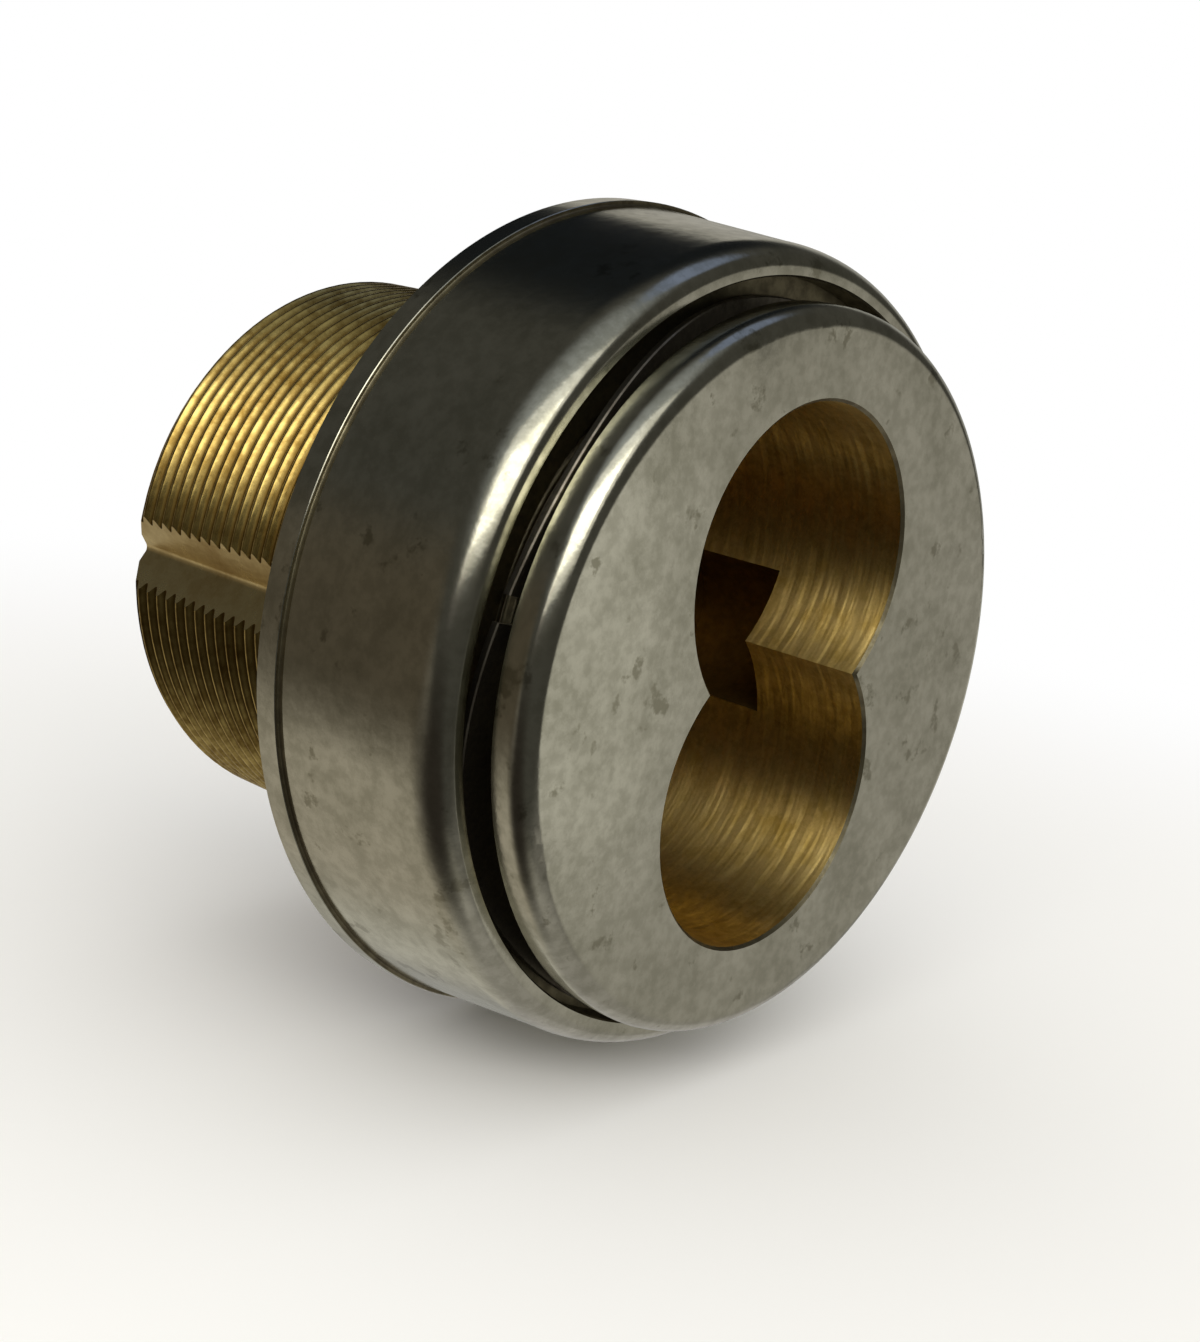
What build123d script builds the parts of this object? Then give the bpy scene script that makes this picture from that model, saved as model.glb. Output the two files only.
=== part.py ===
from build123d import *
import math
import os

# Mortise cylinder housing for a figure-8 interchangeable core, with its sprung
# trim collar and, at the back, the drum and cam that the core turns.
# Millimetres. The axis is Y: the face looks along -Y, the thread runs to +Y, +Z is up.
# The origin is on the axis, in the plane of the collar's rear rim.

# Housing
thread_d = 29.2            # 1.150 inch by 32 threads per inch
body_length = 31.75        # face to rear end, 1 1/4 inch
thread_chamfer = 0.95
head_overhang = 2.85       # beyond the thread, all round
head_thickness = 2.2
head_front_round = 1.0
head_rear_bevel = 0.3

# Figure-8 chamber for the core
upper_lobe_d = 15.6
lower_lobe_d = 15.4
lobe_spacing = 10.8        # between the two lobe axes
chamber_depth = 27.0
mouth_break = 0.15

# Pocket in the right wall that the core's control lug turns into
lug_pocket_start = 6.8     # behind the face
lug_pocket_length = 7.4
lug_pocket_height = 7.5
lug_pocket_drop = 0.25     # its middle is this far below the axis
lug_pocket_reach = 11.3    # from the vertical mid plane

# Set-screw grooves at 9 and 3 o'clock
groove_width = 4.2
groove_depth = 1.45
groove_start = 4.6         # behind the face
groove_bottom_round = 0.4

# Wave spring between the head and the collar's ledge
spring_height = 2.3
spring_strip = 0.4
spring_inset = 0.1         # inside the head's edge
spring_width = 1.9
spring_waves = 3
spring_cut_angle = 167.0   # from 3 o'clock, towards 12
spring_cut_gap = 4.0
spring_crest_angle = 148.0
spring_play = 0.05         # at each face that it bears on

# Trim collar
collar_mouth_clearance = 0.62   # round the head
collar_hole_clearance = 0.9     # round the thread
collar_lift = 0.3               # the loose collar sits this far above the housing's axis
collar_lip_flat = 0.45
collar_round_width = 1.08       # front edge's round, across the axis
collar_front_round = 1.9        # and along it
collar_flare = 0.63             # wall's growth from front to rear
collar_rim_height = 0.24        # rim beyond the wall
collar_rim_width = 1.3
collar_step = 0.12              # slope at the rim's front, along the axis
collar_mouth_depth = 1.6
ledge_thickness = 1.6
collar_back_depth = 7.4
collar_skin = 1.25
cavity_round = 0.8

# Throw member: the drum that the core turns
drum_running_clearance = 0.05
drum_end_play = 0.1
drum_standoff = 0.3        # drum's rear end beyond the housing's
flange_clearance = 0.6     # inside the upper lobe
flange_width = 1.2         # beyond the drum, where it bears on the chamber's floor
flange_thickness = 1.6
ring_groove_depth = 0.7
ring_groove_width = 0.9
ring_counterbore_clearance = 0.5
ring_counterbore_depth = 1.4

# Driver pins
pin_d = 2.4
pin_spacing = 5.8
pin_reach = 4.0            # in front of the flange
pin_seat = 2.8
pin_tip_chamfer = 0.35

# Retaining ring
ring_width = 1.6
ring_thickness = 0.8
ring_opening = 70.0        # degrees

# Cam
cam_thickness = 2.4
cam_hub_d = 14.0
cam_tail_reach = 17.0
cam_tail_width = 8.0
cam_angle = -45.0          # where the tail points at rest, from 3 o'clock
cam_edge_chamfer = 0.3

# Cam screws
screw_d = 2.5
screw_spacing = 6.2
screw_head_d = 4.6
screw_head_height = 1.5
screw_engagement = 3.4
screw_hole_spare = 0.4
screw_hole_clearance = 0.15
slot_width = 0.7
slot_depth = 0.7

# Places along the axis, worked out from the collar's rear rim at 0
face_y = -(head_thickness + spring_height + ledge_thickness + collar_back_depth)
shoulder_y = face_y + head_thickness
ledge_y = shoulder_y + spring_height
ledge_back_y = ledge_y + ledge_thickness
lip_y = ledge_y - collar_mouth_depth
rear_y = face_y + body_length
floor_y = face_y + chamber_depth
counterbore_y = rear_y - ring_counterbore_depth
flange_back_y = floor_y - drum_end_play
flange_front_y = flange_back_y - flange_thickness
drum_end_y = rear_y + drum_standoff
ring_groove_y = counterbore_y + drum_end_play
cam_back_y = drum_end_y + cam_thickness

# Sizes that follow from others
head_d = thread_d + 2 * head_overhang
spring_outer_d = head_d - 2 * spring_inset
collar_mouth_d = head_d + 2 * collar_mouth_clearance
collar_hole_d = thread_d + 2 * collar_hole_clearance
collar_wall_front_d = collar_mouth_d + 2 * (collar_lip_flat + collar_round_width)
collar_wall_rear_d = collar_wall_front_d + 2 * collar_flare
collar_rim_d = collar_wall_rear_d + 2 * collar_rim_height
flange_d = upper_lobe_d - 2 * flange_clearance
drum_d = flange_d - 2 * flange_width
ring_groove_d = drum_d - 2 * ring_groove_depth
ring_outer_d = ring_groove_d + 2 * ring_width
ring_counterbore_d = ring_outer_d + 2 * ring_counterbore_clearance
upper_lobe_z = lobe_spacing / 2
lower_lobe_z = -lobe_spacing / 2
drum_z = upper_lobe_z      # the key turns in the upper lobe

facing = Plane(origin=(0, 0, 0), x_dir=(1, 0, 0), z_dir=(0, -1, 0))


def turned(points, radii, z=0.0):
    """Solid of revolution about a line along Y at height z; points are (radius, y)."""
    with BuildSketch(Plane.XY) as section:
        with BuildLine():
            FilletPolyline(*points, radius=radii, close=True)
        make_face()
    return Pos(0, 0, z) * revolve(section.sketch, Axis.Y)


def rod(diameter, start_y, end_y, x=0.0, z=0.0):
    """Round bar along Y between two places."""
    length = end_y - start_y
    bar = Cylinder(diameter / 2, length, rotation=(-90, 0, 0))
    return Pos(x, start_y + length / 2, z) * bar


def around(radius, degrees, z=0.0):
    """Point on a circle seen from the front, 0 degrees at 3 o'clock and 90 at 12."""
    turn = math.radians(degrees)
    return radius * math.cos(turn), z + radius * math.sin(turn)


def chamber():
    """Figure-8 pocket: two round lobes that overlap at the waist, with a broken edge at the mouth."""
    void = None
    for diameter, z in ((upper_lobe_d, upper_lobe_z), (lower_lobe_d, lower_lobe_z)):
        lobe_r = diameter / 2
        lobe = turned(
            [
                (0, face_y),
                (lobe_r + mouth_break, face_y),
                (lobe_r, face_y + mouth_break),
                (lobe_r, floor_y),
                (0, floor_y),
            ],
            0,
            z,
        )
        void = lobe if void is None else void + lobe
    return void


def lug_pocket():
    """Slot milled sideways into the right wall by a cutter as wide as the slot is high."""
    cutter_r = lug_pocket_height / 2
    end_x = lug_pocket_reach - cutter_r
    middle_z = -lug_pocket_drop
    middle_y = face_y + lug_pocket_start + lug_pocket_length / 2
    run = Pos(end_x / 2, middle_y, middle_z) * Box(end_x, lug_pocket_length, lug_pocket_height)
    start_y = middle_y - lug_pocket_length / 2
    return run + rod(lug_pocket_height, start_y, start_y + lug_pocket_length, end_x, middle_z)


def set_screw_groove(side):
    """V groove along the thread, on the left (-1) or right (+1), with its bottom rounded."""
    surface_x = thread_d / 2
    spare = 1.0
    half = groove_width / 2
    slope = half / groove_depth
    with BuildSketch(facing) as section:
        with BuildLine():
            FilletPolyline(
                (side * (surface_x - groove_depth), 0),
                (side * (surface_x + spare), half + slope * spare),
                (side * (surface_x + spare), -half - slope * spare),
                radius=[groove_bottom_round, 0, 0],
                close=True,
            )
        make_face()
    length = rear_y - (face_y + groove_start)
    return Pos(0, rear_y, 0) * extrude(section.sketch, length)


def housing():
    """Head, threaded body and everything cut into them; the thread is left at its major diameter."""
    head_r = head_d / 2
    thread_r = thread_d / 2
    body = turned(
        [
            (0, face_y),
            (head_r, face_y),
            (head_r, shoulder_y - head_rear_bevel),
            (head_r - head_rear_bevel, shoulder_y),
            (thread_r, shoulder_y),
            (thread_r, rear_y - thread_chamfer),
            (thread_r - thread_chamfer, rear_y),
            (0, rear_y),
        ],
        [0, head_front_round, 0, 0, 0, 0, 0, 0],
    )
    # the round faces' seam goes to 12 o'clock, clear of the grooves
    body = body.rotate(Axis.Y, -90)
    body -= chamber()
    body -= lug_pocket()
    body -= set_screw_groove(-1)
    body -= set_screw_groove(1)
    body -= rod(drum_d + 2 * drum_running_clearance, floor_y, rear_y, 0, drum_z)
    body -= rod(ring_counterbore_d, counterbore_y, rear_y, 0, drum_z)
    return body


def trim_collar():
    """Turned ring: rounded front, mouth for the head, ledge for the spring, hollow back, raised rear rim."""
    mouth_r = collar_mouth_d / 2
    hole_r = collar_hole_d / 2
    rim_r = collar_rim_d / 2
    rear_r = collar_wall_rear_d / 2
    front_r = collar_wall_front_d / 2
    cavity_r = rear_r - collar_skin
    rim_front_y = -collar_rim_width
    round_start = (front_r, lip_y + collar_front_round)
    round_end = (mouth_r + collar_lip_flat, lip_y)
    with BuildSketch(Plane.XY) as section:
        with BuildLine():
            EllipticalCenterArc(
                (round_end[0], round_start[1]),
                collar_round_width,
                collar_front_round,
                start_angle=270,
                arc_size=90,
            )
            Polyline(round_start, (rear_r, rim_front_y - collar_step), (rim_r, rim_front_y), (rim_r, 0))
            FilletPolyline(
                (rim_r, 0),
                (cavity_r, 0),
                (cavity_r, ledge_back_y),
                (hole_r, ledge_back_y),
                (hole_r, ledge_y),
                (mouth_r, ledge_y),
                (mouth_r, lip_y),
                round_end,
                radius=[0, cavity_round, 0, 0, 0, 0],
            )
        make_face()
    return Pos(0, 0, collar_lift) * revolve(section.sketch, Axis.Y)


def wave_spring():
    """Open ring of flat strip whose height follows a cosine round the turn."""
    outer_r = spring_outer_d / 2
    inner_r = outer_r - spring_width
    front_y = shoulder_y + spring_play
    back_y = ledge_y - spring_play
    middle_y = (front_y + back_y) / 2
    swing = (back_y - front_y - spring_strip) / 2
    sweep_angle = 360 - spring_cut_gap
    first = spring_cut_angle + spring_cut_gap / 2
    steps_per_wave = 12
    steps = spring_waves * steps_per_wave

    def edge(radius, offset):
        points = []
        for step in range(steps + 1):
            degrees = first + sweep_angle * step / steps
            x, z = around(radius, degrees)
            phase = math.radians(spring_waves * (degrees - spring_crest_angle))
            points.append((x, middle_y + offset - swing * math.cos(phase), z))
        return Edge.make_spline(points)

    half = spring_strip / 2
    front_in, front_out = edge(inner_r, -half), edge(outer_r, -half)
    back_in, back_out = edge(inner_r, half), edge(outer_r, half)
    skins = [
        Face.make_surface_from_curves(front_in, front_out),
        Face.make_surface_from_curves(back_in, back_out),
        Face.make_surface_from_curves(front_in, back_in),
        Face.make_surface_from_curves(front_out, back_out),
    ]
    for end in (0, 1):
        corners = [front_in @ end, front_out @ end, back_out @ end, back_in @ end]
        skins.append(Face(Wire.make_polygon(corners, close=True)))
    return Solid(Shell(skins))


def throw_member():
    """Flanged drum: its flange bears on the chamber's floor and its end carries the cam."""
    flange_r = flange_d / 2
    drum_r = drum_d / 2
    neck_r = ring_groove_d / 2
    drum = turned(
        [
            (0, flange_front_y),
            (flange_r, flange_front_y),
            (flange_r, flange_back_y),
            (drum_r, flange_back_y),
            (drum_r, ring_groove_y),
            (neck_r, ring_groove_y),
            (neck_r, ring_groove_y + ring_groove_width),
            (drum_r, ring_groove_y + ring_groove_width),
            (drum_r, drum_end_y),
            (0, drum_end_y),
        ],
        0,
        drum_z,
    )
    for side in (-1, 1):
        x, z = pin_place(side)
        drum -= rod(pin_d, flange_front_y, flange_front_y + pin_seat, x, z)
        x, z = screw_place(side)
        drum -= rod(screw_d, drum_end_y - screw_engagement - screw_hole_spare, drum_end_y, x, z)
    return drum


def pin_place(side):
    """Left (-1) or right (+1) pin, level with the drum's axis."""
    return side * pin_spacing / 2, drum_z


def driver_pin(side):
    """Steel pin pressed into the drum, with a chamfered tip that finds the core's plug."""
    x, z = pin_place(side)
    tip_y = flange_front_y - pin_reach
    pin_r = pin_d / 2
    pin = turned(
        [
            (0, tip_y),
            (pin_r - pin_tip_chamfer, tip_y),
            (pin_r, tip_y + pin_tip_chamfer),
            (pin_r, flange_front_y + pin_seat),
            (0, flange_front_y + pin_seat),
        ],
        0,
        z,
    )
    return Pos(x, 0, 0) * pin


def retaining_ring():
    """Open ring in the drum's groove that keeps the drum in when the cam is off."""
    start_y = ring_groove_y + (ring_groove_width - ring_thickness) / 2
    ring = rod(ring_outer_d, start_y, start_y + ring_thickness)
    ring -= rod(ring_groove_d, start_y, start_y + ring_thickness)
    reach = ring_outer_d
    opening = math.radians(ring_opening / 2)
    side = reach / math.cos(opening)
    with BuildSketch(facing) as wedge:
        with BuildLine():
            Polyline(
                (0, 0),
                (side * math.sin(opening), -side * math.cos(opening)),
                (-side * math.sin(opening), -side * math.cos(opening)),
                close=True,
            )
        make_face()
    ring -= Pos(0, start_y + ring_thickness, 0) * extrude(wedge.sketch, ring_thickness)
    return Pos(0, 0, drum_z) * ring


def screw_place(side):
    """Upper (+1) or lower (-1) screw, on a line square to the cam's tail."""
    return around(side * screw_spacing / 2, cam_angle + 90, drum_z)


def cam():
    """Flat lever: a round hub on the drum's end and a tapering tail with a rounded tip."""
    hub_r = cam_hub_d / 2
    tip_r = cam_tail_width / 2
    tip_x = cam_tail_reach - tip_r
    with BuildSketch(facing) as outline:
        Circle(hub_r)
        with Locations((tip_x, 0)):
            Circle(tip_r)
        make_hull()
        for side in (-1, 1):
            with Locations((0, side * screw_spacing / 2)):
                Circle(screw_d / 2 + screw_hole_clearance, mode=Mode.SUBTRACT)
    plate = extrude(outline.sketch, -cam_thickness)
    rim = plate.edges().filter_by(GeomType.CIRCLE)
    rim = [edge for edge in rim if edge.radius > screw_d]
    plate = chamfer(rim, cam_edge_chamfer)
    plate = plate.rotate(Axis.Y, -cam_angle)
    return Pos(0, drum_end_y, drum_z) * plate


def cam_screw(side):
    """Slotted cheese-head screw through the cam into the drum."""
    x, z = screw_place(side)
    head_r = screw_head_d / 2
    shank_r = screw_d / 2
    head_y = cam_back_y + screw_head_height
    screw = turned(
        [
            (0, drum_end_y - screw_engagement),
            (shank_r, drum_end_y - screw_engagement),
            (shank_r, cam_back_y),
            (head_r, cam_back_y),
            (head_r, head_y),
            (0, head_y),
        ],
        [0, 0, 0, 0, slot_depth / 3, 0],
    )
    slot = Pos(0, head_y - slot_depth / 2, 0) * Box(screw_head_d, slot_depth, slot_width)
    return Pos(x, 0, z) * (screw - slot)


pieces = {
    "housing": housing(),
    "trim_collar": trim_collar(),
    "wave_spring": wave_spring(),
    "throw_member": throw_member(),
    "driver_pin_left": driver_pin(-1),
    "driver_pin_right": driver_pin(1),
    "retaining_ring": retaining_ring(),
    "cam": cam(),
    "cam_screw_upper": cam_screw(1),
    "cam_screw_lower": cam_screw(-1),
}

os.makedirs("parts", exist_ok=True)
for name, shape in pieces.items():
    export_step(shape, f"parts/{name}.step")
    print(name, round(shape.volume, 1), "mm3")
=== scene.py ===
import bmesh
import bpy
import math
from mathutils import Euler, Matrix, Vector


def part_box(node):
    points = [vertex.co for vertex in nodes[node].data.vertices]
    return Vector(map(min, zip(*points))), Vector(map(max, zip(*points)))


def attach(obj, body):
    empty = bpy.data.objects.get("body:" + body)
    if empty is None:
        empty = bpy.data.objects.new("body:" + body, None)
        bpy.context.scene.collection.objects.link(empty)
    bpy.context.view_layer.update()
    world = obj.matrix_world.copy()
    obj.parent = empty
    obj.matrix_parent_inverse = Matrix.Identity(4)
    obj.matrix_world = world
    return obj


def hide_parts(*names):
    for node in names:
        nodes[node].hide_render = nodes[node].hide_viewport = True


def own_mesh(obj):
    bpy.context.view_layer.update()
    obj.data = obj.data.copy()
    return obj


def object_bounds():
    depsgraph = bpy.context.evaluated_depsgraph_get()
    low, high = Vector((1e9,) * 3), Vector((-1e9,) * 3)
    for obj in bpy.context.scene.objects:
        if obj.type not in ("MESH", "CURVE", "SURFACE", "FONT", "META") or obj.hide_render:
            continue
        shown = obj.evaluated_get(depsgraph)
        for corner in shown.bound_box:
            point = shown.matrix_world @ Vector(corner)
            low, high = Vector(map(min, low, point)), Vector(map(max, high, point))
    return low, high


# A mortise cylinder housing seen from its front left: plated head and trim collar,
# bare brass body with a fine thread, and the drum and cam at its back.
# Places are in metres in the part's own frame; sizes in the dictionaries are in mm.

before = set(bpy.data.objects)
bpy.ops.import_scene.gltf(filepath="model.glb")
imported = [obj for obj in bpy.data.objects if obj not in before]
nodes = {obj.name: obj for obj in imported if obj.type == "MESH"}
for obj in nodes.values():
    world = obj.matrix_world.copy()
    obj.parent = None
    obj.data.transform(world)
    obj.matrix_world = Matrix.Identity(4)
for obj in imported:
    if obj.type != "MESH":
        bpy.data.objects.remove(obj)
cadBox = [list(corner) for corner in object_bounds()]
print("frame loaded:", len(nodes), "nodes")

mm = 0.001
scene = bpy.context.scene
housingLow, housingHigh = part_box("housing")
collarLow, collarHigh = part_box("trim_collar")
springLow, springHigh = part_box("wave_spring")
faceY, rearY = housingLow.y, housingHigh.y


# small helpers

def hexColour(text):
    # sRGB hex to the linear colour that a shader takes
    channels = [int(text[i:i + 2], 16) / 255 for i in (0, 2, 4)]
    linear = [c / 12.92 if c <= 0.04045 else ((c + 0.055) / 1.055) ** 2.4 for c in channels]
    return (*linear, 1.0)


def addNode(tree, kind, settings=None, inputs=None):
    # one node with its settings; an input is a value or another node's output
    node = tree.nodes.new(kind)
    for name, value in (settings or {}).items():
        setattr(node, name, value)
    for name, value in (inputs or {}).items():
        if isinstance(value, bpy.types.NodeSocket):
            tree.links.new(value, node.inputs[name])
        else:
            node.inputs[name].default_value = value
    return node


def newMaterial(name):
    material = bpy.data.materials.new(name)
    material.use_nodes = True
    material.node_tree.nodes.clear()
    return material, material.node_tree


def addObject(name, data):
    item = bpy.data.objects.new(name, data)
    scene.collection.objects.link(item)
    return item


def addPiece(name, mesh, body):
    piece = addObject(name, mesh)
    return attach(piece, body)


def closedMesh(name, verts, faces):
    # a closed shape with all its faces pointing outwards
    mesh = bpy.data.meshes.new(name)
    mesh.from_pydata(verts, [], faces)
    work = bmesh.new()
    work.from_mesh(mesh)
    bmesh.ops.recalc_face_normals(work, faces=work.faces)
    work.to_mesh(mesh)
    work.free()
    return mesh


def ringFaces(rings, count, joined):
    # four-sided faces between neighbouring rings of points; joined takes the last ring back to the first
    faces = []
    for i in range(rings if joined else rings - 1):
        j = (i + 1) % rings
        for k in range(count):
            m = (k + 1) % count
            faces.append((i * count + k, i * count + m, j * count + m, j * count + k))
    return faces


def turnedMesh(name, profile, segments, centre):
    # closed profile of (radius, y) in metres, turned about a line along Y through (x, z)
    verts = []
    for i in range(segments):
        turn = 2 * math.pi * i / segments
        for radius, y in profile:
            verts.append((centre[0] + radius * math.cos(turn), y, centre[1] + radius * math.sin(turn)))
    return closedMesh(name, verts, ringFaces(segments, len(profile), True))


def arcPoints(centre, radii, startDegrees, endDegrees, steps):
    # points along an ellipse's quarter, first and last included
    points = []
    for i in range(steps + 1):
        turn = math.radians(startDegrees + (endDegrees - startDegrees) * i / steps)
        points.append((centre[0] + radii[0] * math.cos(turn), centre[1] + radii[1] * math.sin(turn)))
    return points


def smoothMesh(mesh, sharpDegrees):
    mesh.shade_smooth()
    mesh.set_sharp_from_angle(angle=math.radians(sharpDegrees))


def openEdges(mesh):
    work = bmesh.new()
    work.from_mesh(mesh)
    count = sum(not edge.is_manifold for edge in work.edges)
    work.free()
    return count


# camera, at the photograph's angle

view = {
    "place": (-74.597, -65.018, 20.313),
    "turn": (76.768, -7.912, -48.004),
    "lens": 53.23,
    "nearest": 5.0,
    "furthest": 10000.0,
}

cameraData = bpy.data.cameras.new("photoCamera")
cameraData.lens = view["lens"]
cameraData.clip_start = view["nearest"] * mm
cameraData.clip_end = view["furthest"] * mm
camera = addObject("photoCamera", cameraData)
camera.location = Vector(view["place"]) * mm
camera.rotation_euler = Euler([math.radians(a) for a in view["turn"]], "XYZ")
bpy.context.scene.camera = camera
print("camera set")


# floor, background and lamps

studio = {
    "floorColour": "F3F2EF",
    "floorHalf": 2500.0,
    "whiteFrom": 45.0,      # the floor turns to plain white between these distances
    "whiteTo": 120.0,
    "fill": 0.88,           # the white world's strength on the object
    # a bright softbox inside a dimmer, wider one, which gives its edges their fall-off
    "softboxes": {
        "coreSoftbox": {"azimuth": 220, "elevation": 35, "distance": 280, "wide": 280, "high": 120,
                        "power": 0.17, "colour": "FFFBF0"},
        "wideSoftbox": {"azimuth": 224, "elevation": 38, "distance": 290, "wide": 400, "high": 250,
                        "power": 0.22, "colour": "FFFBF2"},
    },
    "tentRadius": 900.0,
    "tentSegments": 64,
    "tentColour": "464541",
    # soft panels in the tent: azimuth, elevation, inner and outer half angle, colour
    "panels": [
        (36, -84, 35, 58, "BCB9B0"),      # table under the object
        (137, -35, 25, 50, "ABA498"),     # table, behind it at the left
        (322, -65, 24, 52, "9C9995"),     # table, before it
        (30, -12, 30, 42, "9F9E99"),      # pale wall at the right rear
        (326, -16, 18, 26, "9F9C96"),     # pale wall that the face mirrors
        (309, -12, 5, 15, "C6C4BD"),      # its lighter left end
        (357, -14, 3, 12, "CAC7BE"),      # its bright end, at the right
        (216, 57, 1, 51, "A2A6AA"),       # ceiling above the softbox
        (146, -6, 10, 32, "524B40"),      # brown shade at the left
        (52, 43, 14, 32, "191C1F"),       # black doorway
        (41, 13, 10, 15, "AEABA3"),       # pale sill under it
        (190, -41, 1, 46, "302C28"),      # shaded edge of the table
        (345, 68, 10, 18, "7A85A0"),      # window's bluish glow
        (14, -52, 20, 24, "B0ADAB"),      # table, right of the object
        (196, 13, 4, 14, "5C5957"),       # pale edge under the softbox
        (80, 4, 18, 33, "A5A39C"),        # pale wall behind, which only the rear views mirror
    ],
}

scene.view_settings.view_transform = "Standard"


def toward(azimuth, elevation):
    # unit vector; azimuth 0 is +X, 90 is +Y, 270 is in front of the face
    a, e = math.radians(azimuth), math.radians(elevation)
    return Vector((math.cos(e) * math.cos(a), math.cos(e) * math.sin(a), math.sin(e)))


def seenDirectly(tree):
    # 1 for camera, mirror and transmission rays, else 0
    path = addNode(tree, "ShaderNodeLightPath").outputs
    seen = addNode(tree, "ShaderNodeMath", {"operation": "MAXIMUM"}, {
        0: path["Is Camera Ray"], 1: path["Is Glossy Ray"]})
    seen = addNode(tree, "ShaderNodeMath", {"operation": "MAXIMUM"}, {
        0: seen.outputs[0], 1: path["Is Transmission Ray"]})
    return seen.outputs[0]


half = studio["floorHalf"] * mm
floorZ = cadBox[0][2]
corners = [(-half, -half, floorZ), (half, -half, floorZ), (half, half, floorZ), (-half, half, floorZ)]
floorMesh = bpy.data.meshes.new("floor")
floorMesh.from_pydata(corners, [], [(0, 1, 2, 3)])
floor = addObject("floor", floorMesh)
floor.visible_glossy = False        # the metal mirrors the tent's table instead

# white paper: plain and shaded round the object, self-lit to white further off
floorMaterial, tree = newMaterial("whiteStudioPaper")
place = addNode(tree, "ShaderNodeTexCoord").outputs["Object"]
flat = addNode(tree, "ShaderNodeVectorMath", {"operation": "MULTIPLY"}, {0: place, 1: (1, 1, 0)})
far = addNode(tree, "ShaderNodeVectorMath", {"operation": "LENGTH"}, {0: flat.outputs[0]})
whiteness = addNode(tree, "ShaderNodeMapRange", {"interpolation_type": "SMOOTHSTEP"}, {
    "Value": far.outputs["Value"],
    "From Min": studio["whiteFrom"] * mm, "From Max": studio["whiteTo"] * mm})
share = addNode(tree, "ShaderNodeMath", {"operation": "MULTIPLY"}, {
    0: whiteness.outputs[0], 1: seenDirectly(tree)})
paper = addNode(tree, "ShaderNodeBsdfDiffuse", {}, {"Color": hexColour(studio["floorColour"])})
white = addNode(tree, "ShaderNodeEmission", {}, {"Color": (1, 1, 1, 1), "Strength": 1.0})
mixed = addNode(tree, "ShaderNodeMixShader", {}, {
    0: share.outputs[0], 1: paper.outputs[0], 2: white.outputs[0]})
addNode(tree, "ShaderNodeOutputMaterial", {}, {"Surface": mixed.outputs[0]})
floorMesh.materials.append(floorMaterial)

# a plain white world, at full strength only where it is seen or mirrored
world = bpy.data.worlds.new("studioWorld")
scene.world = world
world.use_nodes = True
tree = world.node_tree
tree.nodes.clear()
strength = addNode(tree, "ShaderNodeMapRange", {}, {
    "Value": seenDirectly(tree), "To Min": studio["fill"], "To Max": 1.0})
sky = addNode(tree, "ShaderNodeBackground", {}, {"Color": (1, 1, 1, 1), "Strength": strength.outputs[0]})
addNode(tree, "ShaderNodeOutputWorld", {}, {"Surface": sky.outputs[0]})

# tent that only mirror rays meet: the metal shows a dim room with a pale table and wall
tentMesh = bpy.data.meshes.new("tent")
work = bmesh.new()
bmesh.ops.create_uvsphere(work, u_segments=studio["tentSegments"], v_segments=studio["tentSegments"] // 2,
                          radius=studio["tentRadius"] * mm)
bmesh.ops.reverse_faces(work, faces=work.faces)
work.to_mesh(tentMesh)
work.free()
tent = addObject("tent", tentMesh)
for kind in ("camera", "diffuse", "transmission", "volume_scatter", "shadow"):
    setattr(tent, "visible_" + kind, False)

tentMaterial, tree = newMaterial("darkTentCloth")
place = addNode(tree, "ShaderNodeTexCoord").outputs["Object"]
outward = addNode(tree, "ShaderNodeVectorMath", {"operation": "NORMALIZE"}, {0: place}).outputs[0]
colour = hexColour(studio["tentColour"])
for azimuth, elevation, inner, outer, panelColour in studio["panels"]:
    along = addNode(tree, "ShaderNodeVectorMath", {"operation": "DOT_PRODUCT"}, {
        0: outward, 1: toward(azimuth, elevation)})
    part = addNode(tree, "ShaderNodeMapRange", {"interpolation_type": "SMOOTHSTEP"}, {
        "Value": along.outputs["Value"],
        "From Min": math.cos(math.radians(outer)), "From Max": math.cos(math.radians(inner))})
    colour = addNode(tree, "ShaderNodeMix", {"data_type": "RGBA"}, {
        "Factor": part.outputs[0], 6: colour, 7: hexColour(panelColour)}).outputs[2]
glow = addNode(tree, "ShaderNodeEmission", {}, {"Color": colour, "Strength": 1.0})
addNode(tree, "ShaderNodeOutputMaterial", {}, {"Surface": glow.outputs[0]})
tentMesh.materials.append(tentMaterial)

for name, box in studio["softboxes"].items():
    lampData = bpy.data.lights.new(name, "AREA")
    lampData.shape = "RECTANGLE"
    lampData.size, lampData.size_y = box["wide"] * mm, box["high"] * mm
    lampData.energy = box["power"]
    lampData.color = hexColour(box["colour"])[:3]
    lamp = addObject(name, lampData)
    direction = toward(box["azimuth"], box["elevation"])
    lamp.location = direction * box["distance"] * mm
    lamp.rotation_euler = direction.to_track_quat("Z", "Y").to_euler()
print("floor, background, tent and softboxes set")


# materials

# what all the metals share: each pattern's noise, and where its tones begin and end
pattern = {
    "cloud": {"Detail": 3.0, "Roughness": 0.5},
    "patch": {"Detail": 7.0, "Roughness": 0.72},
    "stain": {"Detail": 6.0, "Roughness": 0.62},
    "marks": {"Detail": 2.0, "Roughness": 0.5},
    "cloudFrom": 0.32,
    "cloudTo": 0.68,
    "stainEdge": 0.05,
    # roughness of the darker colour painted as shade in the thread's roots
    "rootShadeRoughness": 0.4,
}


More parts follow.
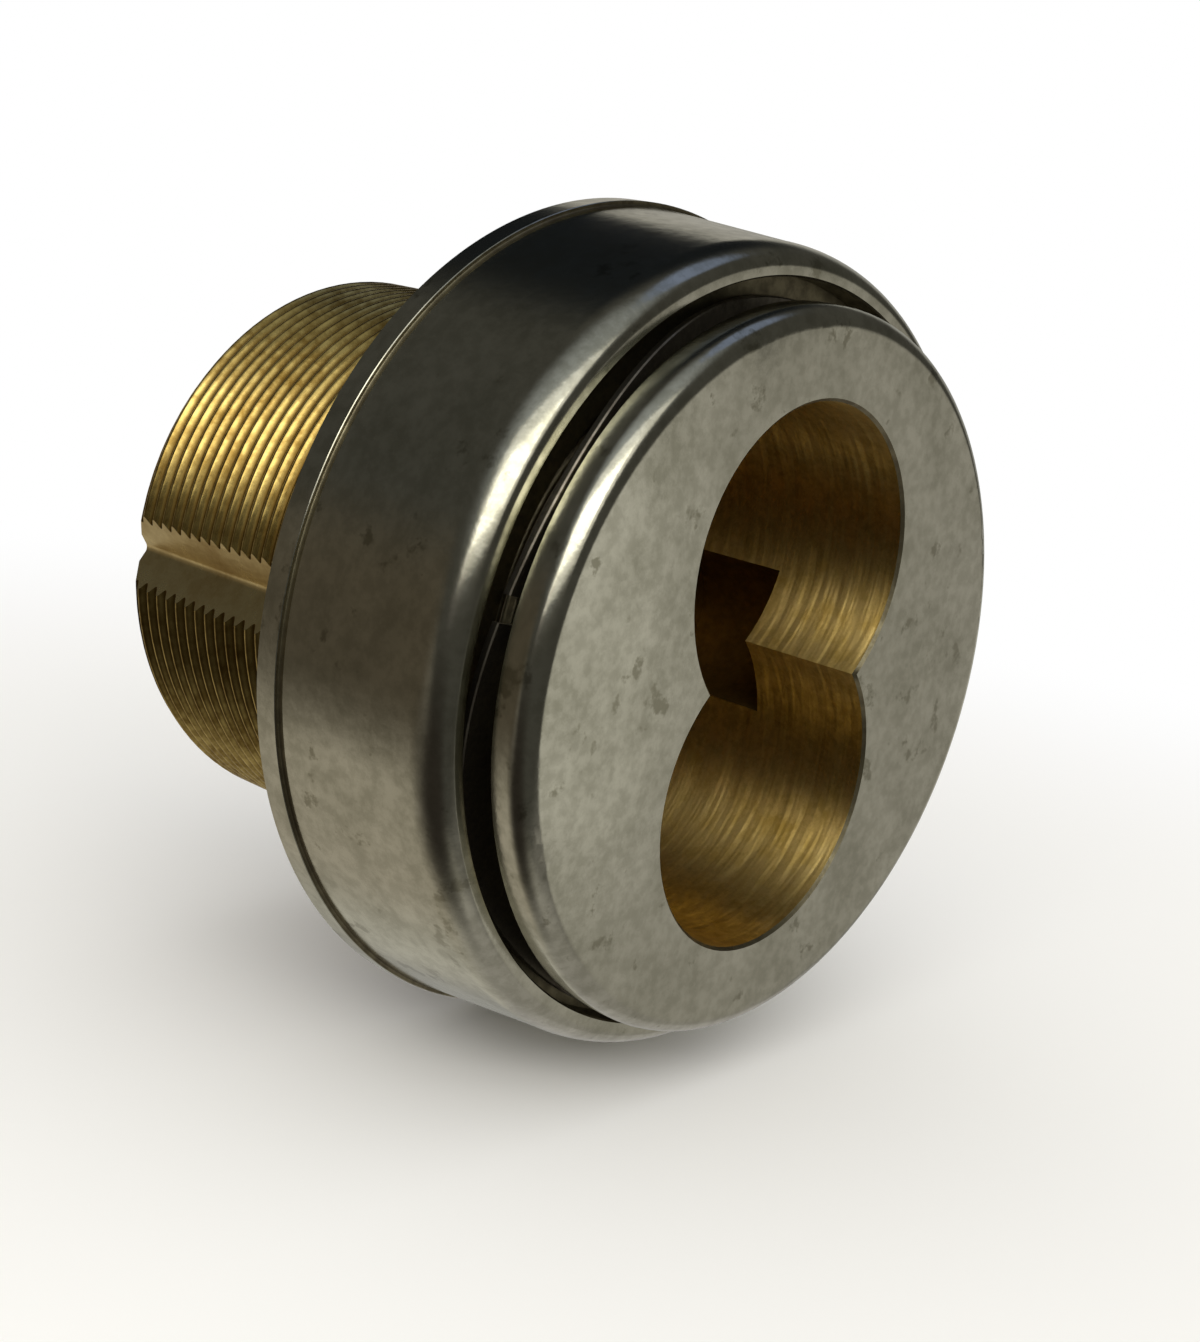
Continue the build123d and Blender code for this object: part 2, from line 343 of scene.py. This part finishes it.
def metalMaterial(name, look):
    # one metal: cloudy and crisp-edged tone patches, roughness that follows them, and tool marks as bump
    # stain adds a few crisp darker spots; a darker colour, painted shade with some dirt, fills what lies
    # nearer the axis than a given reach
    # turnedAbout, an (x, z), lays the marks as rings round that line, on flat faces too
    material, tree = newMaterial(name)
    coords = addNode(tree, "ShaderNodeTexCoord").outputs["Object"]
    cloud = addNode(tree, "ShaderNodeTexNoise", {}, {
        "Vector": coords, "Scale": 1 / (look["cloudMm"] * mm), **pattern["cloud"]}).outputs["Fac"]
    patch = addNode(tree, "ShaderNodeTexNoise", {}, {
        "Vector": coords, "Scale": 1 / (look["patchMm"] * mm), **pattern["patch"]}).outputs["Fac"]
    soft = addNode(tree, "ShaderNodeMapRange", {}, {
        "Value": cloud, "From Min": pattern["cloudFrom"], "From Max": pattern["cloudTo"]}).outputs[0]
    crisp = addNode(tree, "ShaderNodeMapRange", {"interpolation_type": "SMOOTHSTEP"}, {
        "Value": patch, "From Min": 0.5 - look["patchEdge"], "From Max": 0.5 + look["patchEdge"]}).outputs[0]
    wear = addNode(tree, "ShaderNodeMix", {"data_type": "FLOAT"}, {
        0: look["patchShare"], 2: soft, 3: crisp}).outputs[0]
    tones = addNode(tree, "ShaderNodeMix", {"data_type": "RGBA"}, {
        "Factor": wear, 6: hexColour(look["dark"]), 7: hexColour(look["light"])}).outputs[2]
    rough = addNode(tree, "ShaderNodeMapRange", {}, {
        "Value": wear, "To Min": look["roughness"] + look["roughSpread"],
        "To Max": look["roughness"] - look["roughSpread"]}).outputs[0]

    if "stain" in look:
        spots = addNode(tree, "ShaderNodeTexNoise", {}, {
            "Vector": coords, "Scale": 1 / (look["stainMm"] * mm), **pattern["stain"]}).outputs["Fac"]
        spots = addNode(tree, "ShaderNodeMapRange", {}, {
            "Value": spots, "From Min": look["stainFrom"],
            "From Max": look["stainFrom"] + pattern["stainEdge"]}).outputs[0]
        tones = addNode(tree, "ShaderNodeMix", {"data_type": "RGBA"}, {
            "Factor": spots, 6: tones, 7: hexColour(look["stain"])}).outputs[2]

    if "rootDirtAndShade" in look or "turnedAbout" in look:
        # how far each point lies from a line along Y
        x, z = look.get("turnedAbout", (0.0, 0.0))
        across = addNode(tree, "ShaderNodeMapping", {}, {
            "Vector": coords, "Location": (-x * mm, 0, -z * mm), "Scale": (1, 0, 1)}).outputs[0]
        reach = addNode(tree, "ShaderNodeVectorMath", {"operation": "LENGTH"}, {0: across}).outputs["Value"]
    if "rootDirtAndShade" in look:
        # painted shade, with some dirt: a darker colour and more roughness nearer the axis, in the thread's
        # roots
        unshadedShare = addNode(tree, "ShaderNodeMapRange", {"interpolation_type": "SMOOTHSTEP"}, {
            "Value": reach, "From Min": look["rootShadeFrom"] * mm, "From Max": look["rootShadeTo"] * mm}).outputs[0]
        tones = addNode(tree, "ShaderNodeMix", {"data_type": "RGBA"}, {
            "Factor": unshadedShare, 6: hexColour(look["rootDirtAndShade"]), 7: tones}).outputs[2]
        rough = addNode(tree, "ShaderNodeMix", {"data_type": "FLOAT"}, {
            0: unshadedShare, 2: pattern["rootShadeRoughness"], 3: rough}).outputs[0]

    markCoords = coords
    if "turnedAbout" in look:
        depth = addNode(tree, "ShaderNodeSeparateXYZ", {}, {0: coords}).outputs["Y"]
        markCoords = addNode(tree, "ShaderNodeCombineXYZ", {}, {"X": reach, "Y": depth}).outputs[0]
    stretched = addNode(tree, "ShaderNodeMapping", {}, {
        "Vector": markCoords, "Scale": look["markStretch"]}).outputs[0]
    marks = addNode(tree, "ShaderNodeTexNoise", {}, {
        "Vector": stretched, "Scale": 1 / (look["markMm"] * mm), **pattern["marks"]}).outputs["Fac"]
    bump = addNode(tree, "ShaderNodeBump", {}, {
        "Strength": 1.0, "Distance": look["markDepthMm"] * mm, "Height": marks}).outputs[0]
    shader = addNode(tree, "ShaderNodeBsdfPrincipled", {}, {
        "Base Color": tones, "Metallic": 1.0, "Roughness": rough, "Normal": bump})
    if "feedGloss" in look:
        # a tool's feed leaves fine rings, which spread a reflection along the axis, Y
        axis = addNode(tree, "ShaderNodeCombineXYZ", {}, {"Y": 1.0})
        tree.links.new(axis.outputs[0], shader.inputs["Tangent"])
        shader.inputs["Anisotropic"].default_value = look["feedGloss"]
    addNode(tree, "ShaderNodeOutputMaterial", {}, {"Surface": shader.outputs[0]})
    return material


# satin chrome plated over brass: pale warm grey, mottled by wear and hands, with soft reflections;
# its grain is drawn coarser than real so that it shows
satinPlate = metalMaterial("satinChromePlate", {
    "dark": "B1AF9D", "light": "D6D4C3", "cloudMm": 3.2,
    "patchMm": 0.8, "patchEdge": 0.12, "patchShare": 0.42,
    "stain": "A09D8A", "stainMm": 2.0, "stainFrom": 0.61, "roughness": 0.165, "roughSpread": 0.03,
    "markMm": 0.5, "markStretch": (1.0, 1.0, 1.0), "markDepthMm": 0.006})

# brass bored with a coarse feed: its rings catch the light in streaks and spread it along the bore;
# they are drawn deeper and coarser than real so that they show
boredBrass = metalMaterial("boredBrass", {
    "dark": "B4964C", "light": "F0D48A", "cloudMm": 2.5, "patchMm": 0.9, "patchEdge": 0.12, "patchShare": 0.5,
    "roughness": 0.44, "roughSpread": 0.06, "feedGloss": 0.85,
    "markMm": 1.0, "markStretch": (0.16, 1.25, 0.16), "markDepthMm": 0.20})

# brass milled for the core's lug and never cleaned: matt and stained brown
stainedBrass = metalMaterial("stainedBrass", {
    "dark": "7E6230", "light": "A08244", "cloudMm": 2.0, "patchMm": 0.8, "patchEdge": 0.12, "patchShare": 0.5,
    "roughness": 0.60, "roughSpread": 0.05,
    "markMm": 0.6, "markStretch": (1.0, 1.0, 1.0), "markDepthMm": 0.02})

# brass faced on a lathe, at the housing's rear end: fine rings round its axis glint as it turns
facedBrass = metalMaterial("facedBrass", {
    "dark": "A88A42", "light": "D2B468", "cloudMm": 3.0, "patchMm": 0.9, "patchEdge": 0.14, "patchShare": 0.4,
    "roughness": 0.32, "roughSpread": 0.05, "turnedAbout": (0.0, 0.0),
    "markMm": 0.35, "markStretch": (1.0, 1.0, 1.0), "markDepthMm": 0.012})

# the drum's turned brass: the same fine rings, round the upper lobe's axis
turnedBrass = metalMaterial("turnedBrass", {
    "dark": "A88A42", "light": "D2B468", "cloudMm": 2.5, "patchMm": 0.9, "patchEdge": 0.12, "patchShare": 0.4,
    "roughness": 0.30, "roughSpread": 0.05, "turnedAbout": (0.0, 5.4),
    "markMm": 0.3, "markStretch": (1.0, 1.0, 1.0), "markDepthMm": 0.012})

# brass cut with a thread and handled since: polished crests, and a darker brown painted into the roots as
# shade, with some dirt
threadedBrass = metalMaterial("threadedBrass", {
    "dark": "866A30", "light": "DCC276", "cloudMm": 2.8,
    "patchMm": 0.7, "patchEdge": 0.16, "patchShare": 0.55,
    "rootDirtAndShade": "6A5124", "rootShadeFrom": 14.26, "rootShadeTo": 14.48, "roughness": 0.18, "roughSpread": 0.04,
    "markMm": 0.5, "markStretch": (0.8, 1.2, 0.8), "markDepthMm": 0.006})

# brass milled along the thread for the set screw: pale clean flanks, with marks along the cut
milledBrass = metalMaterial("milledBrass", {
    "dark": "C2A870", "light": "ECD8A0", "cloudMm": 2.2, "patchMm": 0.8, "patchEdge": 0.14, "patchShare": 0.4,
    "roughness": 0.30, "roughSpread": 0.04,
    "markMm": 0.5, "markStretch": (1.6, 0.5, 1.6), "markDepthMm": 0.012})

# turned brass, grey-brown and dull: old oil inside the collar and behind the head, and painted shade on the
# collar's lip, in the corner by the rim and on the chamber mouth's broken edge, where it also dulls their
# highlights
oilAndShadeBrass = metalMaterial("oilAndShadeBrass", {
    "dark": "6C6450", "light": "9C9478", "cloudMm": 2.0, "patchMm": 0.8, "patchEdge": 0.12, "patchShare": 0.5,
    "roughness": 0.42, "roughSpread": 0.05,
    "markMm": 0.4, "markStretch": (0.6, 1.6, 0.6), "markDepthMm": 0.008})

# rolled spring steel strip, dark with oil, with a dull sheen
springSteel = metalMaterial("oiledSpringSteel", {
    "dark": "6A6358", "light": "A29C8E", "cloudMm": 2.0, "patchMm": 0.8, "patchEdge": 0.12, "patchShare": 0.5,
    "roughness": 0.40, "roughSpread": 0.05,
    "markMm": 0.4, "markStretch": (1.0, 1.0, 1.0), "markDepthMm": 0.004})

# driver pins of steel ground between centres: bright, with fine rings
groundSteel = metalMaterial("groundPinSteel", {
    "dark": "8F8F8C", "light": "AEAEA9", "cloudMm": 1.5, "patchMm": 0.6, "patchEdge": 0.15, "patchShare": 0.4,
    "roughness": 0.22, "roughSpread": 0.03,
    "markMm": 0.5, "markStretch": (0.3, 2.5, 0.3), "markDepthMm": 0.006})

# stamped ring of phosphated spring steel: near black and matt
blackSteel = metalMaterial("phosphatedRingSteel", {
    "dark": "2B2A29", "light": "454341", "cloudMm": 1.5, "patchMm": 0.5, "patchEdge": 0.15, "patchShare": 0.5,
    "roughness": 0.48, "roughSpread": 0.05,
    "markMm": 0.25, "markStretch": (1.0, 1.0, 1.0), "markDepthMm": 0.006})

# cam and screws of steel plated with bright zinc: silvery and a little cloudy
zincPlate = metalMaterial("zincPlatedSteel", {
    "dark": "8B8B84", "light": "B4B3A8", "cloudMm": 2.4, "patchMm": 0.9, "patchEdge": 0.12, "patchShare": 0.5,
    "roughness": 0.30, "roughSpread": 0.05,
    "markMm": 0.5, "markStretch": (1.0, 1.0, 1.0), "markDepthMm": 0.006})
print("materials made")


# housing: the solid meets a threaded rod, so that the rod's thread runs along its body

thread = {
    "radius": 14.57,        # to the crests
    "pitch": 0.79375,       # 32 to the inch
    "depth": 0.31,
    "sharpness": 1.0,       # above 1 the crests widen and the roots narrow
    "start": 1.1,           # behind the head's rear face
    "fade": 0.8,            # the thread deepens over this length
    "rodFront": 21.0,       # the rod's radius where it clears the head
    "rodSpare": 1.0,        # how far the rod stands out at both ends
    "segments": 120,
    "rowsPerPitch": 14,
}


def threadRodTree(material):
    # a rod along Z: each ring's points move in by a helical wave, which makes the thread
    tree = bpy.data.node_groups.new("threadRod", "GeometryNodeTree")
    sockets = tree.interface
    sockets.new_socket(name="Geometry", in_out="INPUT", socket_type="NodeSocketGeometry")
    for name in ("Radius", "Pitch", "Depth", "Sharpness", "Start", "Fade", "Front Radius", "Low", "Length"):
        sockets.new_socket(name=name, in_out="INPUT", socket_type="NodeSocketFloat")
    for name in ("Segments", "Rows"):
        sockets.new_socket(name=name, in_out="INPUT", socket_type="NodeSocketInt")
    sockets.new_socket(name="Geometry", in_out="OUTPUT", socket_type="NodeSocketGeometry")

    given = addNode(tree, "NodeGroupInput").outputs
    rod = addNode(tree, "GeometryNodeMeshCylinder", {"fill_type": "NGON"}, {
        "Vertices": given["Segments"], "Side Segments": given["Rows"],
        "Radius": given["Radius"], "Depth": given["Length"]})
    position = addNode(tree, "GeometryNodeInputPosition").outputs[0]
    spot = addNode(tree, "ShaderNodeSeparateXYZ", {}, {0: position}).outputs
    fade = addNode(tree, "ShaderNodeMapRange", {"interpolation_type": "SMOOTHSTEP"}, {
        "From Min": given["Start"]})

    # one Math node a line: the name of what comes out, the operation and the two things that go in
    sums = [
        ("turn", "ARCTAN2", "Y", "X"),
        ("halfLength", "MULTIPLY", "Length", 0.5),
        ("middle", "ADD", "Low", "halfLength"),
        ("up", "ADD", "Z", "middle"),
        ("fadeEnd", "ADD", "Start", "Fade"),
        # a wave with one crest a pitch, which climbs one pitch a turn
        ("pitches", "DIVIDE", "up", "Pitch"),
        ("upPhase", "MULTIPLY", "pitches", math.pi),
        ("turnPhase", "MULTIPLY", "turn", 0.5),
        ("phase", "SUBTRACT", "upPhase", "turnPhase"),
        ("sway", "SINE", "phase", 0.0),
        ("hump", "ABSOLUTE", "sway", 0.0),
        ("power", "MULTIPLY", "Sharpness", 2.0),
        ("wave", "POWER", "hump", "power"),
        # the cut into the rod, and the wide front where there is none
        ("fadedWave", "MULTIPLY", "wave", "fade"),
        ("cut", "MULTIPLY", "fadedWave", "Depth"),
        ("inFront", "LESS_THAN", "up", "Start"),
        ("step", "SUBTRACT", "Front Radius", "Radius"),
        ("wider", "MULTIPLY", "inFront", "step"),
        ("threaded", "SUBTRACT", "Radius", "cut"),
        ("reach", "ADD", "threaded", "wider"),
        ("cosine", "COSINE", "turn", 0.0),
        ("sine", "SINE", "turn", 0.0),
        ("newX", "MULTIPLY", "reach", "cosine"),
        ("newY", "MULTIPLY", "reach", "sine"),
    ]
    known = {socket.name: socket for socket in (*given, *spot)}
    known["fade"] = fade.outputs[0]
    for name, operation, first, second in sums:
        known[name] = addNode(tree, "ShaderNodeMath", {"operation": operation}, {
            0: known.get(first, first), 1: known.get(second, second)}).outputs[0]
    tree.links.new(known["up"], fade.inputs["Value"])
    tree.links.new(known["fadeEnd"], fade.inputs["From Max"])

    place = addNode(tree, "ShaderNodeCombineXYZ", {}, {
        "X": known["newX"], "Y": known["newY"], "Z": known["up"]})
    shaped = addNode(tree, "GeometryNodeSetPosition", {}, {
        "Geometry": rod.outputs["Mesh"], "Position": place.outputs[0]})
    real = addNode(tree, "GeometryNodeRealizeInstances", {}, {"Geometry": shaped.outputs[0]})
    dressed = addNode(tree, "GeometryNodeSetMaterial", {}, {
        "Geometry": real.outputs[0], "Material": material})
    addNode(tree, "NodeGroupOutput", {}, {"Geometry": dressed.outputs[0]})
    return tree


def plainMesh(item):
    # what an object's modifiers make of it, as a mesh of its own
    bpy.context.view_layer.update()
    depsgraph = bpy.context.evaluated_depsgraph_get()
    return bpy.data.meshes.new_from_object(item.evaluated_get(depsgraph), depsgraph=depsgraph)


def runTree(name, tree, values):
    # runs a node tree on an empty mesh and keeps what comes out
    holder = addObject(name, bpy.data.meshes.new(name + "Seed"))
    modifier = holder.modifiers.new("shape", "NODES")
    modifier.node_group = tree
    for item in tree.interface.items_tree:
        if item.in_out == "INPUT" and item.name in values:
            modifier[item.identifier] = values[item.name]
    mesh = plainMesh(holder)
    bpy.data.objects.remove(holder)
    return mesh


def weldedCopy(node, name, distance):
    # a node's own mesh, merged into one closed surface
    mesh = nodes[node].data.copy()
    mesh.name = name
    work = bmesh.new()
    work.from_mesh(mesh)
    bmesh.ops.remove_doubles(work, verts=work.verts, dist=distance)
    work.to_mesh(mesh)
    work.free()
    return mesh


housing = {
    "weld": 0.0001,         # points of the solid's mesh nearer than this are one
    "headThickness": 2.2,
    "neckEnd": 6.0,         # behind the thread's start, hidden in the collar
    "neckRadius": 13.9,     # only the body's outside lies further out
    "lobe": 7.9,            # just over the chamber's lobes, so what lies outside both is pocket
    "lobeRise": 5.4,
    "pocketReach": 12.0,
    "pocketRear": 2.0,
    "grooveFrom": 12.2,     # the set screws' grooves lie further from the middle than this
    "mouthBreak": 0.16,     # the chamber's broken edge lies within this of the face
    "rearFrom": 13.5,       # the chamber's floor; the rear end's faces lie behind it
    "shoulderSlack": 0.02,
    "faceSlack": 0.01,
    "sharpAngle": 28,
}

shoulderY = faceY + housing["headThickness"] * mm
rodLow, rodHigh = faceY - thread["rodSpare"] * mm, rearY + thread["rodSpare"] * mm
rodMesh = runTree("threadRod", threadRodTree(threadedBrass), {
    "Radius": thread["radius"] * mm, "Pitch": thread["pitch"] * mm, "Depth": thread["depth"] * mm,
    "Sharpness": thread["sharpness"], "Start": shoulderY + thread["start"] * mm, "Fade": thread["fade"] * mm,
    "Front Radius": thread["rodFront"] * mm, "Low": rodLow, "Length": rodHigh - rodLow,
    "Segments": thread["segments"],
    "Rows": round((rodHigh - rodLow) / (thread["pitch"] * mm) * thread["rowsPerPitch"])})
rodMesh.transform(Matrix.Rotation(math.radians(-90), 4, "X"))
housingMesh = weldedCopy("housing", "housingSolid", housing["weld"] * mm)
housingFinishes = (boredBrass, threadedBrass, satinPlate, oilAndShadeBrass, stainedBrass, milledBrass, facedBrass)
boreSlot, threadSlot, plateSlot, oilAndShadeSlot, pocketSlot, grooveSlot, rearSlot = range(len(housingFinishes))
for mesh, slot in ((housingMesh, boreSlot), (rodMesh, threadSlot)):
    mesh.materials.clear()
    for material in housingFinishes:
        mesh.materials.append(material)
    mesh.polygons.foreach_set("material_index", [slot] * len(mesh.polygons))
print("thread rod:", len(rodMesh.polygons), "faces, open edges", openEdges(rodMesh),
      "housing open edges", openEdges(housingMesh))

solid = addObject("housingSolid", housingMesh)
rod = addObject("threadRod", rodMesh)
meet = solid.modifiers.new("thread", "BOOLEAN")
meet.operation = "INTERSECT"
meet.solver = "MANIFOLD"
meet.object = rod
threaded = plainMesh(solid)
bpy.data.objects.remove(rod)
bpy.data.objects.remove(solid)
print("threaded housing:", len(threaded.polygons), "faces, open edges", openEdges(threaded))


def housingSlot(face):
    # the plate covers the head; the neck is dark with oil, and the mouth's broken edge takes the same dark
    # brass as painted shade, which hides its glint
    x, y, z = face.center
    reach = math.hypot(x, z)
    cutBySolid = face.material_index == boreSlot
    onHead = y < shoulderY - housing["shoulderSlack"] * mm and reach > thread["radius"] * mm
    if onHead or y < faceY + housing["faceSlack"] * mm:
        return plateSlot
    if y < shoulderY + (thread["start"] + housing["neckEnd"]) * mm and reach > housing["neckRadius"] * mm:
        return oilAndShadeSlot
    offLobe = min(math.hypot(x, z - rise * mm) for rise in (housing["lobeRise"], -housing["lobeRise"]))
    withinPocket = reach < housing["pocketReach"] * mm and y < housing["pocketRear"] * mm
    if offLobe > housing["lobe"] * mm and withinPocket:
        return pocketSlot
    if cutBySolid and abs(x) > housing["grooveFrom"] * mm:
        return grooveSlot
    # painted shade: the chamber mouth's broken edge gets the dark oily brass, so it shows no glint
    if y < faceY + housing["mouthBreak"] * mm:
        return oilAndShadeSlot
    if cutBySolid and y > housing["rearFrom"] * mm:
        return rearSlot
    return face.material_index


threaded.name = "housing_turned"
for face in threaded.polygons:
    face.material_index = housingSlot(face)
threaded.shade_smooth()
work = bmesh.new()
work.from_mesh(threaded)
for edge in work.edges:
    # the thread is smooth all over; elsewhere a corner sharper than this stays crisp
    onThread = all(face.material_index in (threadSlot, oilAndShadeSlot) for face in edge.link_faces)
    edge.smooth = onThread or edge.calc_face_angle(0) < math.radians(housing["sharpAngle"])
work.to_mesh(threaded)
work.free()
housingPiece = addPiece("housing_turned", threaded, "housing")
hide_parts("housing")
print("housing made")


# trim collar, turned afresh with finer rounds

collar = {
    "rim": 40.94,           # diameters, from the rear rim to the hole
    "wallRear": 40.46,
    "wallFront": 39.2,
    "mouth": 36.14,
    "hole": 31.0,
    "lip": -10.6,           # places along the axis
    "ledge": -9.0,
    "ledgeBack": -7.4,
    "rimWidth": 1.3,
    "hollow": 0.08,         # small round in the corner before the rim
    "hollowRun": 0.3,
    "roundWidth": 1.08,     # the large front round
    "frontRound": 1.9,
    "skin": 1.25,
    "cavityRound": 0.8,
    "edgeBreak": 0.08,
    "rimBreak": 0.03,
    "lipShadeReach": 0.07,         # the painted shade reaches this far out from the mouth's wall, over its broken edge
    "lipDepth": 1.0,        # the cavity begins behind this
    "hollowSteps": 8,
    "roundSteps": 14,
    "cavitySteps": 6,
    "segments": 256,
    "sharpAngle": 30,
}


def collarProfile(c):
    rimR, rearR, frontR, mouthR, holeR = (c[k] / 2 for k in ("rim", "wallRear", "wallFront", "mouth", "hole"))
    cavityR, b, rimFront = rearR - c["skin"], c["edgeBreak"], -c["rimWidth"]
    points = [(rimR, -b), (rimR, rimFront + c["rimBreak"]), (rimR - c["rimBreak"], rimFront)]
    points += arcPoints((rearR + c["hollow"], rimFront - c["hollowRun"]), (c["hollow"], c["hollowRun"]),
                        90, 180, c["hollowSteps"])
    points += arcPoints((frontR - c["roundWidth"], c["lip"] + c["frontRound"]),
                        (c["roundWidth"], c["frontRound"]), 0, -90, c["roundSteps"])
    points += [(mouthR + b, c["lip"]), (mouthR, c["lip"] + b), (mouthR, c["ledge"])]
    points += [(holeR + b, c["ledge"]), (holeR, c["ledge"] + b), (holeR, c["ledgeBack"])]
    points += arcPoints((cavityR - c["cavityRound"], c["ledgeBack"] + c["cavityRound"]),
                        (c["cavityRound"], c["cavityRound"]), -90, 0, c["cavitySteps"])
    points += [(cavityR, -b), (cavityR + b, 0), (rimR - b, 0)]
    return [(r * mm, y * mm) for r, y in points]


# the loose collar hangs a little off the thread's axis, as its CAD solid does
collarCentre = ((collarLow.x + collarHigh.x) / 2, (collarLow.z + collarHigh.z) / 2)
collarMesh = turnedMesh("trim_collar_turned", collarProfile(collar), collar["segments"], collarCentre)
collarMesh.materials.append(satinPlate)
collarMesh.materials.append(oilAndShadeBrass)
wallRear = collar["wallRear"] / 2 * mm
for face in collarMesh.polygons:
    # inside the lip and in the corner by the rim the dark oily brass is painted shade, which also dulls their
    # highlights; in the cavity the plate is thin and dark with oil
    y = face.center.y
    reach = math.hypot(face.center.x - collarCentre[0], face.center.z - collarCentre[1])
    insideLip = reach < (collar["mouth"] / 2 + collar["lipShadeReach"]) * mm
    inHollow = reach > wallRear and y < -collar["rimWidth"] * mm
    inCavity = y > (collar["lip"] + collar["lipDepth"]) * mm and reach < wallRear - collar["skin"] * mm
    face.material_index = int(insideLip or inHollow or inCavity)
smoothMesh(collarMesh, collar["sharpAngle"])
collarPiece = addPiece("trim_collar_turned", collarMesh, "collar")
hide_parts("trim_collar")
print("collar made, open edges", openEdges(collarMesh))


# wave spring: flat strip whose height follows a cosine

spring = {
    "outer": 34.7,
    "width": 1.9,
    "strip": 0.4,
    "edgeRun": 0.06,        # the rolled outer edge: its width, and its height as a share of the strip
    "edgeRise": 0.15,
    "waves": 3,
    "crestAngle": 148.0,
    "cutAngle": 167.0,
    "cutGap": 4.0,
    "pressed": 0.6,         # height when the collar has pressed it flat
    "steps": 360,
    "sharpAngle": 30,
}


def springMesh(s):
    low, high = springLow.y, springHigh.y
    middle, swing = (low + high) / 2, (high - low - s["strip"] * mm) / 2
    first, sweep = s["cutAngle"] + s["cutGap"] / 2, 360 - s["cutGap"]
    outer, shoulder = s["outer"] / 2, 0.5 - s["edgeRise"]
    inner, edge = outer - s["width"], outer - s["edgeRun"]
    ring = [(inner, -0.5), (edge, -0.5), (outer, -shoulder), (outer, shoulder), (edge, 0.5), (inner, 0.5)]
    verts = []
    for i in range(s["steps"] + 1):
        degrees = first + sweep * i / s["steps"]
        turn = math.radians(degrees)
        lift = middle - swing * math.cos(math.radians(s["waves"] * (degrees - s["crestAngle"])))
        for radius, side in ring:
            verts.append((radius * mm * math.cos(turn), lift + side * s["strip"] * mm,
                          radius * mm * math.sin(turn)))
    count = len(ring)
    faces = ringFaces(s["steps"] + 1, count, False)
    faces.append(tuple(range(count)))
    faces.append(tuple(s["steps"] * count + k for k in reversed(range(count))))
    return closedMesh("wave_spring_strip", verts, faces)


stripMesh = springMesh(spring)
stripMesh.materials.append(springSteel)
smoothMesh(stripMesh, spring["sharpAngle"])
springPiece = addPiece("wave_spring_strip", stripMesh, "housing")
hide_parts("wave_spring")
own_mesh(springPiece)
print("spring made")


# pieces of the drum and cam keep their own shapes

finishes = {
    "throw_member": turnedBrass,
    "driver_pin_left": groundSteel,
    "driver_pin_right": groundSteel,
    "retaining_ring": blackSteel,
    "cam": zincPlate,
    "cam_screw_upper": zincPlate,
    "cam_screw_lower": zincPlate,
}

for name, material in finishes.items():
    nodes[name].data.materials.clear()
    nodes[name].data.materials.append(material)
print("drum, pins, ring, cam and screws finished")
